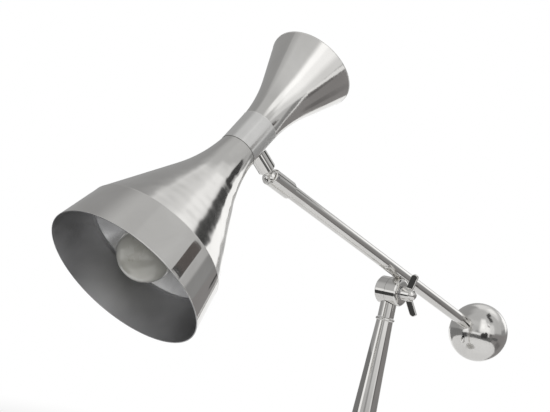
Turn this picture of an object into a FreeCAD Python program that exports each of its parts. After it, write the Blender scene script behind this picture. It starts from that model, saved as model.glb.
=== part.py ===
import FreeCAD, Part
import os
import Sketcher

# Tabletop searchlight lamp: a weighted round base, a conical column, a clamped
# swing arm with a ball counterweight, and an hourglass shade on a ball joint.
# Millimetres, +Z up. The origin is the centre of the base's resting face, +X is
# the side that the shade hangs over and +Y the side of the wing nut.

os.makedirs("parts", exist_ok=True)
doc = FreeCAD.newDocument("SearchlightLamp")

# ---------------------------------------------------------------- dimensions
DIMENSIONS = {
    # base
    "base_dia": 220, "base_height": 16, "base_edge": 5, "cover_wall": 1.5,
    "felt_height": 2, "felt_inset": 3, "weight_gap": 0.4, "weight_recess_dia": 32,
    "weight_recess_top": 10, "channel_width": 10, "channel_top": 12,
    "nut_flat_radius": 9, "nut_height": 5, "washer_dia": 26, "washer_height": 2,
    # column
    "column_foot_dia": 52.5, "column_neck_dia": 22.4, "column_wall": 1.5,
    "foot_ring_dia": 66, "foot_ring_height": 9, "foot_ring_lip": 3,
    "rod_dia": 10, "rod_bore": 7, "fit": 0.05, "running_gap": 0.3,
    "bead_height": 4.5, "bead_drop": 41.25, "bead_proud": 1.7, "plug_depth": 30,
    "rod_depth": 14, "spigot_dia": 12, "spigot_bore": 5, "groove_depth": 1.2,
    "groove_height": 3.4, "swivel_screw_dia": 3,
    # hub and clamp
    "hub_height": 442.5, "hub_dia": 36.8, "hub_half": 13, "hub_split": 0.15,
    "hub_cap_height": 3, "hub_cap_edge": 2, "socket_dia": 22, "saddle_gap": 0.6,
    "bolt_dia": 8, "bolt_head_dia": 18, "bolt_head_height": 5.5, "bolt_reach": 34,
    "knuckle_end": 14, "flange_dia": 37, "flange_height": 3.6, "flange_rim": 1.3,
    "flange_face_dia": 28, "spring_washer_dia": 18, "spring_washer_height": 2,
    # wing nut
    "wing_boss_dia": 19, "wing_boss_neck": 16.6, "wing_boss_height": 12,
    "wing_dome": 7, "wing_angle": 18, "wing_root": 6.5, "wing_span": 25,
    "wing_lean": 8, "wing_width": 10.5, "wing_thickness": 3.4, "wing_foot": 3,
    # arm
    "arm_angle": 11.5, "arm_side": 7, "arm_sink": 2.4, "arm_front": 319.9,
    "arm_rear": 252.3, "tube_dia": 17, "tube_wall": 1.5, "cradle_wall": 2.5,
    "cradle_front": 8, "cradle_rear": 23, "tube_tail": 20,
    "ball_dia": 88, "ball_cavity_dia": 75.9, "ball_screw_dia": 6,
    "ball_screw_length": 12, "stop_screw_at": 48, "stop_screw_dia": 6.4,
    "stop_screw_height": 1.8, "stop_screw_turn": 45,
    "cradle_screw_at": 18.5, "cradle_screw_dia": 7,
    "cradle_screw_head": 2.4, "cradle_screw_shank": 3.8,
    # ball joint
    "cup_wall": 2.25, "cup_length": 37, "cup_socket": 25, "cup_chamfer": 1.2,
    "cup_lip": 1.4, "cup_slot_width": 15.8, "cup_slot_back": 2.2,
    "joint_ball_dia": 17.5, "joint_screw_dia": 4, "joint_screw_length": 1.6,
    "shaft_dia": 9, "shaft_past_nut": 1, "shaft_nut_height": 5, "nut_setback": 6.48,
    "shaft_nut_radius": 7.6,
    "stub_reach": 55.3, "stub_turn": 9.9, "stub_dia": 20.6, "stub_face": 45.6,
    "stub_round": 2.5,
    # shade
    "head_angle": 37.2, "mouth_dia": 181, "band_top_dia": 162, "band_height": 50.5,
    "lip_dia": 151, "sheet": 1, "neck_dia": 43.6, "neck_to_mouth": 225.9,
    "sleeve_proud": 0.3, "sleeve_height": 43, "horn_bend_dia": 80.8,
    "horn_bend_drop": 89.8, "rear_height": 131, "rear_dia": 105.4,
    "rear_bend_dia": 66.6, "rear_bend_rise": 78.6,
    "liner_wall": 1.5, "liner_height": 68,
    "baffle_level": 24, "baffle_height": 1.5, "vent_ring": 26, "vent_dia": 6,
    # lamp holder and bulb
    "stem_dia": 10, "stem_bore": 6.4, "stem_top": 31, "holder_back": 84,
    "holder_length": 52, "holder_dia": 38, "holder_bore": 27, "holder_grip": 8,
    "holder_taper": 8, "holder_ring_dia": 44, "holder_ring_height": 6,
    "holder_ring_at": 30, "bulb_dia": 60, "bulb_wall": 1.2, "bulb_centre": 187.9,
    "bulb_shoulder": 24.6, "bulb_shoulder_rise": 17.2, "bulb_neck": 14,
    "bulb_neck_rise": 40, "bulb_length_rise": 48, "cap_dia": 26.6, "cap_length": 27,
    # switch and cable inlet
    "switch_at": 80, "switch_body_dia": 19, "switch_neck_dia": 15,
    "switch_neck_height": 3, "switch_pocket_dia": 22, "switch_ring_dia": 22,
    "switch_ring_height": 2.4, "button_dia": 10.2, "button_proud": 6,
    "button_depth": 6.5, "button_edge": 1.2, "button_travel": 2.5,
    "inlet_level": 7.5, "inlet_dia": 8, "inlet_bore": 6, "inlet_flange_dia": 11,
    "inlet_flange": 1.6,
}

sheet = doc.addObject("Spreadsheet::Sheet", "Dimensions")
for row, (alias, size) in enumerate(DIMENSIONS.items(), start=1):
    sheet.set(f"A{row}", alias)
    sheet.set(f"B{row}", str(size))
    sheet.setAlias(f"B{row}", alias)
doc.recompute()


def bound(expression):
    """The expression with every alias prefixed by the sheet's name."""
    words = expression.split()
    return " ".join("Dimensions." + w if w[0].isalpha() else w for w in words)


def number(expression):
    """The value of a sum of terms such as 'alias', '2.5' or 'alias*0.5'."""
    total, sign = 0.0, 1.0
    for word in expression.split():
        if word in "+-":
            sign = -1.0 if word == "-" else 1.0
            continue
        name, *factors = word.split("*")
        amount = float(sheet.get(name)) if name[0].isalpha() else float(name)
        for factor in factors:
            amount *= float(factor)
        total += sign * amount
    return total


# ------------------------------------------------------------ frames of reference
# Every piece is drawn in the frame of the part that carries it.
ARM_RISE = "hub_dia*0.5 + tube_dia*0.5 - arm_sink"
TUBE_X = f"- sin(Dimensions.arm_angle) * ({bound(ARM_RISE)})"
TUBE_Z = f"Dimensions.hub_height + cos(Dimensions.arm_angle) * ({bound(ARM_RISE)})"
PIVOT_X = "cos(Dimensions.arm_angle) * Dimensions.arm_front " + TUBE_X
PIVOT_Z = TUBE_Z + " + sin(Dimensions.arm_angle) * Dimensions.arm_front"
STUB_SPAN = "Dimensions.stub_reach * cos(Dimensions.stub_turn)"
HEAD_X = PIVOT_X + " + cos(Dimensions.head_angle) * " + STUB_SPAN
HEAD_Y = "Dimensions.arm_side - sin(Dimensions.stub_turn) * Dimensions.stub_reach"
STOP_X = TUBE_X + " + cos(Dimensions.arm_angle) * Dimensions.stop_screw_at"
STOP_Z = TUBE_Z + " + sin(Dimensions.arm_angle) * Dimensions.stop_screw_at"
HEAD_Z = PIVOT_Z + " + sin(Dimensions.head_angle) * " + STUB_SPAN
# name: x, y, z of the frame's origin, and its turn about the Y axis
FRAMES = {
    "base": ("0", "0", "0", "0"),
    "post": ("0", "0", "Dimensions.hub_height", "0"),
    "wings": ("0", "0", "Dimensions.hub_height", "Dimensions.wing_angle"),
    "arm": ("0", "0", "Dimensions.hub_height", "- Dimensions.arm_angle"),
    "tube": (TUBE_X, "Dimensions.arm_side", TUBE_Z, "- Dimensions.arm_angle"),
    "head": (HEAD_X, HEAD_Y, HEAD_Z, "- Dimensions.head_angle"),
    "stub": (HEAD_X, HEAD_Y, HEAD_Z,
             "-2 * acos(cos(Dimensions.head_angle / 2) * cos(Dimensions.stub_turn / 2))"),
    "stop": (STOP_X, "Dimensions.arm_side", STOP_Z,
             "2 * acos(cos(Dimensions.arm_angle / 2)"
             " * cos(Dimensions.stop_screw_turn / 2))"),
}
# Two frames turn twice: the stub's is the head's turned about the shade's axis, and
# the stop screw's is the arm's turned about the tube. This is the axis of both turns.
TURN_AXES = {
    "stub": {
        "x": "-1 * sin(Dimensions.head_angle / 2) * sin(Dimensions.stub_turn / 2)",
        "y": "sin(Dimensions.head_angle / 2) * cos(Dimensions.stub_turn / 2)",
        "z": "cos(Dimensions.head_angle / 2) * sin(Dimensions.stub_turn / 2)",
    },
    "stop": {
        "x": "cos(Dimensions.arm_angle / 2) * sin(Dimensions.stop_screw_turn / 2)",
        "y": "-1 * sin(Dimensions.arm_angle / 2) * cos(Dimensions.stop_screw_turn / 2)",
        "z": "sin(Dimensions.arm_angle / 2) * sin(Dimensions.stop_screw_turn / 2)",
    },
}
parts = []


def place(piece, frame):
    """Puts a piece drawn about the origin into its frame."""
    spin = FreeCAD.Rotation(FreeCAD.Vector(0, 1, 0), 1.0)
    piece.Placement = FreeCAD.Placement(FreeCAD.Vector(0, 0, 0), spin)
    across, deep, high, turn = FRAMES[frame]
    piece.setExpression("Placement.Base.x", across)
    piece.setExpression("Placement.Base.y", deep)
    piece.setExpression("Placement.Base.z", high)
    piece.setExpression("Placement.Rotation.Angle", turn)
    for way, share in TURN_AXES.get(frame, {}).items():
        piece.setExpression("Placement.Rotation.Axis." + way, share)


def new_body(label, frame):
    """A PartDesign body that is kept as the node of that name."""
    body = doc.addObject("PartDesign::Body", label + "_body")
    body.Label = label
    place(body, frame)
    parts.append(body)
    return body


# ------------------------------------------------------------------- sketches
# A sketch's horizontal and vertical are X and Y on XY, X and Z on XZ, Y and Z on YZ.
# The XZ plane faces -Y, so its levels and directions are turned to follow +Y.
FACING = {"XY": 1, "XZ": -1, "YZ": 1}
AXES = {"H_Axis": -1, "V_Axis": -2}
FLIP = {"-": "+", "+": "-"}


def new_sketch(body, plane, level="0"):
    """An empty sketch at a level along the plane's positive axis."""
    sketch = body.newObject("Sketcher::SketchObject", "Sketch")
    origin_planes = {f.Role: f for f in body.Origin.OriginFeatures}
    sketch.AttachmentSupport = [(origin_planes[plane + "_Plane"], "")]
    sketch.MapMode = "FlatFace"
    if level != "0":
        lead = "-1 * ( " if FACING[plane] < 0 else "( "
        sketch.setExpression("AttachmentOffset.Base.z", lead + bound(level) + " )")
    sketch.addProperty("App::PropertyString", "Plane").Plane = plane
    return sketch


def pin_point(sketch, shape, end, corner):
    """Holds one end of a sketch line at a pair of expressions."""
    for kind, expression in zip(("DistanceX", "DistanceY"), corner):
        rule = Sketcher.Constraint(kind, shape, end, number(expression))
        index = sketch.addConstraint(rule)
        sketch.setExpression(f"Constraints[{index}]", bound(expression))


def arc_through(start, finish, radius, side):
    """The shorter arc between two points, bulging to the left (+1) or right (-1)."""
    chord = finish - start
    half = chord.Length / 2
    normal = FreeCAD.Vector(-chord.y, chord.x, 0).normalize()
    rise = radius - (radius ** 2 - half ** 2) ** 0.5
    return Part.Arc(start, (start + finish) / 2 + normal * rise * side, finish)


def outline(sketch, corners, arcs=None):
    """A closed outline through the corners. arcs gives, for the edge that leaves a
    corner, a (radius, side) pair, or a rough radius, a side and what settles the
    radius: the edge it is tangent to, or the axis that its centre lies on."""
    arcs = arcs or {}
    points = [FreeCAD.Vector(number(x), number(y), 0) for x, y in corners]
    edges, ends = [], []
    for i, start in enumerate(points):
        finish = points[(i + 1) % len(points)]
        if i in arcs:
            curve = arc_through(start, finish, number(arcs[i][0]), arcs[i][1])
        else:
            curve = Part.LineSegment(start, finish)
        edge = sketch.addGeometry(curve)
        first = 1 if (sketch.getPoint(edge, 1) - start).Length < 1e-6 else 2
        edges.append(edge)
        ends.append((first, 3 - first))
    for i, corner in enumerate(corners):
        after = (i + 1) % len(corners)
        pin_point(sketch, edges[i], ends[i][0], corner)
        join = Sketcher.Constraint("Coincident", edges[i], ends[i][1],
                                   edges[after], ends[after][0])
        sketch.addConstraint(join)
    for i, arc in arcs.items():
        if len(arc) == 3:
            if arc[2] in AXES:
                rule = Sketcher.Constraint("PointOnObject", edges[i], 3, AXES[arc[2]])
            else:
                rule = Sketcher.Constraint("Tangent", edges[i], edges[arc[2]])
            sketch.addConstraint(rule)
            continue
        rule = Sketcher.Constraint("Radius", edges[i], number(arc[0]))
        index = sketch.addConstraint(rule)
        sketch.setExpression(f"Constraints[{index}]", bound(arc[0]))
    return sketch


def circle(sketch, across, up, radius):
    """A circle about a pair of expressions."""
    middle = FreeCAD.Vector(number(across), number(up), 0)
    ring = Part.Circle(middle, FreeCAD.Vector(0, 0, 1), number(radius))
    shape = sketch.addGeometry(ring)
    pin_point(sketch, shape, 3, (across, up))
    index = sketch.addConstraint(Sketcher.Constraint("Radius", shape, number(radius)))
    sketch.setExpression(f"Constraints[{index}]", bound(radius))
    return sketch


def hexagon(sketch, across, up, radius):
    """A regular hexagon with a corner on the horizontal."""
    half, side = radius + "*0.5", radius + "*0.8660254"
    return outline(sketch, [
        (f"{across} + {radius}", up), (f"{across} + {half}", f"{up} + {side}"),
        (f"{across} - {half}", f"{up} + {side}"), (f"{across} - {radius}", up),
        (f"{across} - {half}", f"{up} - {side}"), (f"{across} + {half}", f"{up} - {side}"),
    ])


def box_outline(sketch, left, right, low, high):
    """A rectangle between four expressions."""
    return outline(sketch, [(left, low), (right, low), (right, high), (left, high)])


# ------------------------------------------------------------------- features
def pad(body, sketch, length, toward=1):
    """Adds material from the sketch toward the plane's positive axis, or the other."""
    feature = body.newObject("PartDesign::Pad", "Pad")
    feature.Profile = sketch
    feature.setExpression("Length", bound(length))
    feature.Reversed = toward * FACING[sketch.Plane] < 0
    doc.recompute()
    return feature


def pad_both(body, sketch, length):
    """Adds material to both sides of the sketch, the length in all."""
    feature = body.newObject("PartDesign::Pad", "Pad")
    feature.Profile = sketch
    feature.SideType = "Symmetric"
    feature.setExpression("Length", bound(length))
    doc.recompute()
    return feature


def pocket(body, sketch, length, toward=1, both=False):
    """Cuts from the sketch toward the plane's positive axis, the other or both."""
    before = body.Shape.Volume
    feature = body.newObject("PartDesign::Pocket", "Pocket")
    feature.Profile = sketch
    feature.setExpression("Length", bound(length))
    if both:
        feature.SideType = "Symmetric"
    else:
        feature.Reversed = toward * FACING[sketch.Plane] > 0
    doc.recompute()
    if body.Shape.Volume > before - 0.01:
        raise RuntimeError(f"a pocket in {body.Label} cuts nothing")
    return feature


def revolve(body, sketch, axis):
    """Turns the sketch about its vertical (V_Axis) or horizontal (H_Axis)."""
    feature = body.newObject("PartDesign::Revolution", "Revolution")
    feature.Profile = sketch
    feature.ReferenceAxis = (sketch, [axis])
    feature.Angle = 360
    doc.recompute()
    return feature


def turned(label, frame, plane, axis, corners, arcs=None):
    """A piece made on a lathe from one outline."""
    body = new_body(label, frame)
    revolve(body, outline(new_sketch(body, plane), corners, arcs), axis)
    return body


def drilled(body, plane, level, across, up, radius, length, toward):
    """A round hole from a level of a plane."""
    sketch = circle(new_sketch(body, plane, level), across, up, radius)
    pocket(body, sketch, length, toward)


# ----------------------------------------------------------------------- base
def make_base_cover():
    cover = turned("base_cover", "base", "XZ", "V_Axis", [
        ("base_dia*0.5", "felt_height"),
        ("base_dia*0.5", "base_height - base_edge"),
        ("base_dia*0.5 - base_edge", "base_height"),
        ("rod_dia*0.5 + fit", "base_height"),
        ("rod_dia*0.5 + fit", "base_height - cover_wall"),
        ("base_dia*0.5 - base_edge", "base_height - cover_wall"),
        ("base_dia*0.5 - cover_wall", "base_height - base_edge"),
        ("base_dia*0.5 - cover_wall", "felt_height"),
    ], {1: ("base_edge", -1), 5: ("base_edge - cover_wall", 1)})
    drilled(cover, "XY", "base_height", "switch_at", "0",
            "switch_neck_dia*0.5 + fit", "cover_wall*2", -1)
    drilled(cover, "YZ", "- base_dia*0.5", "0", "inlet_level",
            "inlet_dia*0.5 + fit", "cover_wall*3", 1)


def make_base_weight():
    weight_radius = "base_dia*0.5 - cover_wall - weight_gap"
    weight_top = "base_height - cover_wall"
    weight = turned("base_weight", "base", "XZ", "V_Axis", [
        ("rod_dia*0.5 + fit", "weight_recess_top"),
        ("weight_recess_dia*0.5", "weight_recess_top"),
        ("weight_recess_dia*0.5", "felt_height"),
        (weight_radius, "felt_height"),
        (weight_radius, "base_height - base_edge - weight_gap"),
        (weight_radius + " - base_edge", weight_top),
        ("rod_dia*0.5 + fit", weight_top),
    ])
    drilled(weight, "XY", "felt_height", "switch_at", "0",
            "switch_pocket_dia*0.5", "base_height", 1)
    channel = new_sketch(weight, "XY", "felt_height")
    box_outline(channel, "- base_dia*0.5", "switch_at",
                "- channel_width*0.5", "channel_width*0.5")
    pocket(weight, channel, "channel_top - felt_height", 1)


def make_base_felt():
    felt = doc.addObject("Part::Cylinder", "base_felt_pad")
    felt.Label = "base_felt"
    felt.setExpression("Radius", bound("base_dia*0.5 - felt_inset"))
    felt.setExpression("Height", bound("felt_height"))
    place(felt, "base")
    parts.append(felt)


def make_base_fixings():
    washer = new_body("base_washer", "base")
    face = new_sketch(washer, "XY", "weight_recess_top")
    circle(face, "0", "0", "washer_dia*0.5")
    circle(face, "0", "0", "rod_dia*0.5 + fit")
    pad(washer, face, "washer_height", -1)
    nut = new_body("base_nut", "base")
    face = new_sketch(nut, "XY", "weight_recess_top - washer_height")
    hexagon(face, "0", "0", "nut_flat_radius")
    circle(face, "0", "0", "rod_dia*0.5 + fit")
    pad(nut, face, "nut_height", -1)


def make_cable_inlet():
    bush = turned("cable_grommet", "base", "XZ", "H_Axis", [
        ("- base_dia*0.5 - inlet_flange", "inlet_bore*0.5"),
        ("- base_dia*0.5 - inlet_flange", "inlet_flange_dia*0.5 - inlet_flange*0.5"),
        ("- base_dia*0.5", "inlet_flange_dia*0.5"),
        ("- base_dia*0.5", "inlet_dia*0.5"),
        ("- base_dia*0.5 + cover_wall*1.6", "inlet_dia*0.5"),
        ("- base_dia*0.5 + cover_wall*1.6", "inlet_bore*0.5"),
    ])
    bush.setExpression("Placement.Base.z", bound("inlet_level"))


def make_switch():
    body = turned("switch_body", "base", "XZ", "V_Axis", [
        ("0", "felt_height + weight_gap"),
        ("switch_body_dia*0.5", "felt_height + weight_gap"),
        ("switch_body_dia*0.5", "base_height - cover_wall"),
        ("switch_neck_dia*0.5", "base_height - cover_wall"),
        ("switch_neck_dia*0.5", "base_height + switch_neck_height"),
        ("button_dia*0.5 + fit", "base_height + switch_neck_height"),
        ("button_dia*0.5 + fit", "base_height - button_depth - button_travel - fit"),
        ("0", "base_height - button_depth - button_travel - fit"),
    ])
    ring = turned("switch_ring", "base", "XZ", "V_Axis", [
        ("switch_neck_dia*0.5 + fit", "base_height"),
        ("switch_ring_dia*0.5", "base_height"),
        ("switch_ring_dia*0.5", "base_height + switch_ring_height*0.4"),
        ("switch_ring_dia*0.5 - switch_ring_height*0.6",
         "base_height + switch_ring_height"),
        ("switch_neck_dia*0.5 + fit", "base_height + switch_ring_height"),
    ], {2: ("switch_ring_height*0.62", -1)})
    button = turned("switch_button", "base", "XZ", "V_Axis", [
        ("0", "base_height - button_depth"),
        ("button_dia*0.5", "base_height - button_depth"),
        ("button_dia*0.5", "base_height + button_proud - button_edge"),
        ("button_dia*0.5 - button_edge", "base_height + button_proud"),
        ("0", "base_height + button_proud"),
    ], {2: ("button_edge", -1)})
    for piece in (body, ring, button):
        piece.setExpression("Placement.Base.x", bound("switch_at"))


# --------------------------------------------------------------------- column
BEAD_TOP = "hub_height - bead_drop + bead_height"
BEAD_BOTTOM = "hub_height - bead_drop"


def make_column():
    turned("column", "base", "XZ", "V_Axis", [
        ("column_foot_dia*0.5", "base_height"),
        ("column_neck_dia*0.5", BEAD_BOTTOM),
        ("column_neck_dia*0.5 - column_wall", BEAD_BOTTOM),
        ("column_foot_dia*0.5 - column_wall", "base_height"),
    ])
    turned("column_foot", "base", "XZ", "V_Axis", [
        ("column_foot_dia*0.5 + running_gap", "base_height"),
        ("foot_ring_dia*0.5", "base_height"),
        ("foot_ring_dia*0.5", "base_height + foot_ring_lip"),
        ("column_foot_dia*0.5 + foot_ring_lip*0.5", "base_height + foot_ring_height"),
        ("column_foot_dia*0.5 + running_gap", "base_height + foot_ring_height"),
    ], {2: ("foot_ring_height", -1)})


def make_column_cap():
    plug_radius = "column_neck_dia*0.5 - column_wall - running_gap"
    rod_end = BEAD_BOTTOM + " - plug_depth + rod_depth"
    cap = turned("column_cap", "base", "XZ", "V_Axis", [
        ("rod_dia*0.5 + fit", BEAD_BOTTOM + " - plug_depth"),
        (plug_radius, BEAD_BOTTOM + " - plug_depth"),
        (plug_radius, BEAD_BOTTOM),
        ("column_neck_dia*0.5", BEAD_BOTTOM),
        ("column_neck_dia*0.5 + bead_proud", BEAD_BOTTOM + " + bead_height*0.5"),
        ("column_neck_dia*0.5", BEAD_TOP),
        ("spigot_dia*0.5 + fit", BEAD_TOP),
        ("spigot_dia*0.5 + fit", rod_end + " + running_gap"),
        ("rod_bore*0.5", rod_end + " + running_gap"),
        ("rod_bore*0.5", rod_end),
        ("rod_dia*0.5 + fit", rod_end),
    ], {3: ("bead_height*0.5", -1), 4: ("bead_height*0.5", -1)})
    drilled(cap, "YZ", "- column_neck_dia", "0", BEAD_BOTTOM + " + bead_height*0.5",
            "swivel_screw_dia*0.5 + fit", "column_neck_dia", 1)


def make_swivel_screw():
    screw = new_body("swivel_screw", "base")
    tip = "- spigot_dia*0.5 + groove_depth - running_gap"
    shank = new_sketch(screw, "YZ", tip)
    circle(shank, "0", BEAD_BOTTOM + " + bead_height*0.5", "swivel_screw_dia*0.5")
    pad(screw, shank, "column_neck_dia*0.5 - spigot_dia*0.5 + groove_depth", -1)


def make_tie_rod():
    rod = new_body("tie_rod", "base")
    ring = new_sketch(rod, "XY", "felt_height + running_gap")
    circle(ring, "0", "0", "rod_dia*0.5")
    circle(ring, "0", "0", "rod_bore*0.5")
    pad(rod, ring, BEAD_BOTTOM + " - plug_depth + rod_depth - felt_height - running_gap")


# --------------------------------------------------------------- hub and clamp
def make_post_socket():
    socket = new_body("post_socket", "post")
    foot = "bead_height - bead_drop + running_gap"
    stem = circle(new_sketch(socket, "XY", foot), "0", "0", "socket_dia*0.5")
    pad(socket, stem, "bead_drop - bead_height - running_gap")
    half = circle(new_sketch(socket, "XZ", "- hub_split"), "0", "0", "hub_dia*0.5")
    pad(socket, half, "hub_half - hub_split", -1)
    drilled(socket, "XZ", "- hub_split", "0", "0", "hub_dia*0.5 + saddle_gap",
            "hub_dia", 1)
    drilled(socket, "XZ", "- hub_half", "0", "0", "bolt_head_dia*0.5 + fit",
            "bolt_head_height", 1)
    drilled(socket, "XZ", "- hub_half", "0", "0", "bolt_dia*0.5 + fit", "hub_dia", 1)
    pin_end = "- bead_drop - plug_depth + rod_depth + running_gap*2"
    groove = "- bead_drop + bead_height*0.5 + groove_height*0.5"
    pin = outline(new_sketch(socket, "XZ"), [
        ("spigot_bore*0.5", foot), ("spigot_dia*0.5", foot), ("spigot_dia*0.5", groove),
        ("spigot_dia*0.5 - groove_depth", groove),
        ("spigot_dia*0.5 - groove_depth", groove + " - groove_height"),
        ("spigot_dia*0.5", groove + " - groove_height"),
        ("spigot_dia*0.5", pin_end), ("spigot_bore*0.5", pin_end),
    ])
    revolve(socket, pin, "V_Axis")
    drilled(socket, "XY", foot, "0", "0", "spigot_bore*0.5",
            "bead_drop - bead_height - hub_dia*0.5", 1)


def make_hub_cap():
    turned("hub_cap", "post", "YZ", "H_Axis", [
        ("- hub_half", "0"),
        ("- hub_half", "hub_dia*0.5"),
        ("- hub_half - hub_cap_height + hub_cap_edge", "hub_dia*0.5"),
        ("- hub_half - hub_cap_height", "hub_dia*0.5 - hub_cap_edge"),
        ("- hub_half - hub_cap_height", "0"),
    ], {2: ("hub_cap_edge", 1)})


def make_clamp_bolt():
    turned("clamp_bolt", "post", "YZ", "H_Axis", [
        ("- hub_half", "0"),
        ("- hub_half", "bolt_head_dia*0.5"),
        ("- hub_half + bolt_head_height", "bolt_head_dia*0.5"),
        ("- hub_half + bolt_head_height", "bolt_dia*0.5"),
        ("bolt_reach", "bolt_dia*0.5"),
        ("bolt_reach", "0"),
    ])


CRADLE_RADIUS = "tube_dia*0.5 + cradle_wall"
CRADLE_FOOT = "hub_dia*0.5 - arm_sink - cradle_wall"


def make_arm_knuckle():
    knuckle = new_body("arm_knuckle", "arm")
    half = circle(new_sketch(knuckle, "XZ", "hub_split"), "0", "0", "hub_dia*0.5")
    pad(knuckle, half, "knuckle_end - hub_split")
    flank = ARM_RISE + " - tube_dia*0.3 - cradle_wall*0.6"
    cradle = new_sketch(knuckle, "YZ", "- cradle_rear")
    outline(cradle, [
        ("arm_side - tube_dia*0.4 - cradle_wall*0.8", flank),
        ("arm_side", CRADLE_FOOT),
        ("arm_side + tube_dia*0.4 + cradle_wall*0.8", flank),
    ], {0: (CRADLE_RADIUS, -1), 1: (CRADLE_RADIUS, -1)})
    pad(knuckle, cradle, "cradle_rear + cradle_front")
    drilled(knuckle, "YZ", "- hub_dia", "arm_side", ARM_RISE,
            "tube_dia*0.5 + fit", "hub_dia*2", 1)
    drilled(knuckle, "XZ", "knuckle_end", "0", "0", "flange_dia*0.5 + saddle_gap",
            "hub_dia", 1)
    drilled(knuckle, "XZ", "hub_split", "0", "0", "hub_dia*0.5 + saddle_gap",
            "hub_dia", -1)
    drilled(knuckle, "XZ", "0", "0", "0", "bolt_dia*0.5 + fit", "knuckle_end*2", 1)
    drilled(knuckle, "XY", CRADLE_FOOT, "- cradle_screw_at", "arm_side",
            "cradle_screw_shank*0.5 + fit", CRADLE_RADIUS, 1)


def make_flange():
    turned("flange_washer", "arm", "YZ", "H_Axis", [
        ("knuckle_end", "bolt_dia*0.5 + fit"),
        ("knuckle_end", "flange_dia*0.5"),
        ("knuckle_end + flange_rim", "flange_dia*0.5"),
        ("knuckle_end + flange_height", "flange_face_dia*0.5"),
        ("knuckle_end + flange_height", "bolt_dia*0.5 + fit"),
    ], {2: ("flange_height*1.6", 1)})
    turned("spring_washer", "arm", "YZ", "H_Axis", [
        ("knuckle_end + flange_height", "bolt_dia*0.5 + fit"),
        ("knuckle_end + flange_height", "spring_washer_dia*0.5"),
        ("knuckle_end + flange_height + spring_washer_height", "spring_washer_dia*0.5"),
        ("knuckle_end + flange_height + spring_washer_height", "bolt_dia*0.5 + fit"),
    ])


WING_START = "knuckle_end + flange_height + spring_washer_height + hub_split"


def make_wing_nut():
    nut = new_body("wing_nut", "wings")
    boss = outline(new_sketch(nut, "YZ"), [
        (WING_START, "bolt_dia*0.5 + fit"),
        (WING_START, "wing_boss_dia*0.5"),
        (WING_START + " + wing_boss_height", "wing_boss_neck*0.5"),
        (WING_START + " + wing_boss_height + wing_dome", "0"),
        ("bolt_reach + running_gap", "0"),
        ("bolt_reach + running_gap", "bolt_dia*0.5 + fit"),
    ], {2: ("wing_boss_neck*0.51", 1, "H_Axis")})
    revolve(nut, boss, "H_Axis")
    wings = new_sketch(nut, "YZ")
    for sign, side in (("", -1), ("- ", 1)):
        foot = WING_START + " + wing_foot"
        tip = foot + " + wing_lean"
        outline(wings, [
            (foot, f"{sign}wing_root"),
            (foot + " + wing_width", f"{sign}wing_root"),
            (tip + " + wing_width", f"{sign}wing_span"),
            (tip, f"{sign}wing_span"),
        ], {2: ("wing_width*0.54", side)})
    pad_both(nut, wings, "wing_thickness")


# ------------------------------------------------------------------------ arm
def make_arm_tube():
    tube = new_body("arm_tube", "tube")
    ring = new_sketch(tube, "YZ", "- arm_rear - tube_tail")
    circle(ring, "0", "0", "tube_dia*0.5")
    circle(ring, "0", "0", "tube_dia*0.5 - tube_wall")
    pad(tube, ring, "arm_rear + tube_tail + arm_front - cup_length + cup_socket")
    drilled(tube, "XY", "0", "- cradle_screw_at", "0", "cradle_screw_shank*0.5 + fit",
            "tube_dia", -1)


def make_arm_screws():
    stop = turned("tube_stop_screw", "stop", "XZ", "V_Axis", [
        ("0", "- tube_dia*0.4"),
        ("stop_screw_dia*0.5", "- tube_dia*0.4"),
        ("stop_screw_dia*0.5", "- tube_dia*0.5"),
        ("0", "- tube_dia*0.5 - stop_screw_height"),
    ], {2: ("stop_screw_dia*0.6", 1, "V_Axis")})
    drilled(stop, "YZ", "- tube_dia", "0", "0", "tube_dia*0.5 + fit", "tube_dia*2", 1)
    screw = new_body("cradle_screw", "tube")
    head = new_sketch(screw, "XY", "- tube_dia*0.5 - cradle_wall")
    circle(head, "- cradle_screw_at", "0", "cradle_screw_dia*0.5")
    pad(screw, head, "cradle_screw_head", -1)
    shank = new_sketch(screw, "XY", "- tube_dia*0.5 - cradle_wall")
    circle(shank, "- cradle_screw_at", "0", "cradle_screw_shank*0.5")
    pad(screw, shank, "cradle_wall + tube_wall", 1)


def make_counterweight():
    ball = new_body("counterweight_ball", "tube")
    rings = new_sketch(ball, "XZ")
    corners, outer, inner = [], "ball_dia*0.5", "ball_cavity_dia*0.5"
    for radius, sign in ((outer, "-"), (inner, "+")):
        near, far = f"- arm_rear {sign} {radius}", f"- arm_rear {FLIP[sign]} {radius}"
        corners += [(near, "0"), ("- arm_rear", radius), (far, "0")]
    outline(rings, corners, {0: (outer, 1), 1: (outer, 1), 3: (inner, -1),
                             4: (inner, -1)})
    revolve(ball, rings, "H_Axis")
    drilled(ball, "YZ", "- arm_rear", "0", "0", "tube_dia*0.5 + fit", "ball_dia", 1)
    drilled(ball, "XY", "0", "- arm_rear + ball_dia*0.42", "0",
            "ball_screw_dia*0.5 + fit", "ball_dia", -1)
    screw = new_body("ball_set_screw", "tube")
    face = new_sketch(screw, "XY", "- tube_dia*0.5")
    circle(face, "- arm_rear + ball_dia*0.42", "0", "ball_screw_dia*0.5")
    pad(screw, face, "ball_screw_length*0.4", -1)


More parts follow.
